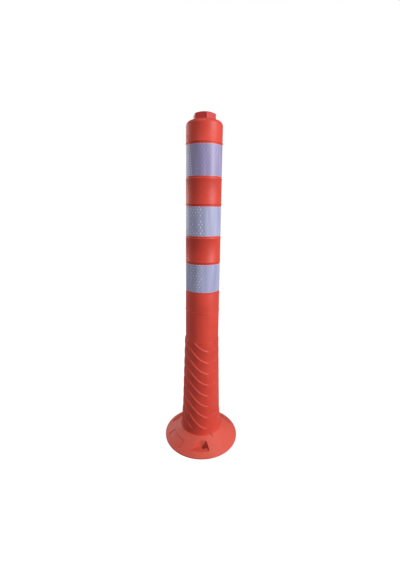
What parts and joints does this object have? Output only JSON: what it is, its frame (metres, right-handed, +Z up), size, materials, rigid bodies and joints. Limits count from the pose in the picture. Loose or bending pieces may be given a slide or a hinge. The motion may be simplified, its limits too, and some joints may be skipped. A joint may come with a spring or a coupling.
{
  "type": "delineator post",
  "caption": "Flexible round orange-red traffic post with pale reflective bands, a ribbed bending zone, a hexagonal top plug and a wide round bolt-down flange.",
  "frame": {"origin": "middle of the flange's underside, on the floor", "axes": "+Z up the post, -Y the front"},
  "size_m": [0.174, 0.174, 0.73],
  "materials": {
    "post_plastic": "satin moulded polyurethane, orange-red",
    "flange_plastic": "satin moulded polyurethane, slightly lighter orange-red",
    "plug_plastic": "satin moulded plastic, red",
    "reflective_film": "prismatic retro-reflective film, pale lavender grey"
  },
  "bodies": {
    "base": {"base_flange": "flange_plastic", "post_foot": "post_plastic"},
    "flex_1": {"flex_segment_1": "post_plastic"},
    "flex_2": {"flex_segment_2": "post_plastic"},
    "flex_3": {"flex_segment_3": "post_plastic"},
    "flex_4": {"flex_segment_4": "post_plastic"},
    "flex_5": {"flex_segment_5": "post_plastic"},
    "post": {"post_tube": "post_plastic", "band_top": "reflective_film", "band_middle": "reflective_film", "band_bottom": "reflective_film", "top_plug": "plug_plastic"}
  },
  "joints": [
    {"name": "bend_fore_1", "type": "hinge", "parent": "base", "child": "flex_1", "pos_m": [0, 0, 0.08], "axis": [1, 0, 0], "range_deg": [-30, 30], "stiffness_Nm_per_rad": 60, "deforming": ["flex_segment_1"]},
    {"name": "bend_side_1", "type": "hinge", "parent": "flex_1", "child": "flex_2", "pos_m": [0, 0, 0.112], "axis": [0, 1, 0], "range_deg": [-15, 15], "stiffness_Nm_per_rad": 60, "deforming": ["flex_segment_2"]},
    {"name": "bend_fore_2", "type": "hinge", "parent": "flex_2", "child": "flex_3", "pos_m": [0, 0, 0.144], "axis": [1, 0, 0], "range_deg": [-30, 30], "stiffness_Nm_per_rad": 60, "deforming": ["flex_segment_3"]},
    {"name": "bend_side_2", "type": "hinge", "parent": "flex_3", "child": "flex_4", "pos_m": [0, 0, 0.176], "axis": [0, 1, 0], "range_deg": [-15, 15], "stiffness_Nm_per_rad": 60, "deforming": ["flex_segment_4"]},
    {"name": "bend_fore_3", "type": "hinge", "parent": "flex_4", "child": "flex_5", "pos_m": [0, 0, 0.208], "axis": [1, 0, 0], "range_deg": [-30, 30], "stiffness_Nm_per_rad": 60, "deforming": ["flex_segment_5"]},
    {"name": "bend_side_3", "type": "hinge", "parent": "flex_5", "child": "post", "pos_m": [0, 0, 0.24], "axis": [0, 1, 0], "range_deg": [-15, 15], "stiffness_Nm_per_rad": 60}
  ],
  "couplings": [
    {"joint": "bend_fore_2", "follows": "bend_fore_1", "ratio": 1},
    {"joint": "bend_side_2", "follows": "bend_side_1", "ratio": 1},
    {"joint": "bend_fore_3", "follows": "bend_fore_1", "ratio": 1},
    {"joint": "bend_side_3", "follows": "bend_side_1", "ratio": 1}
  ]
}
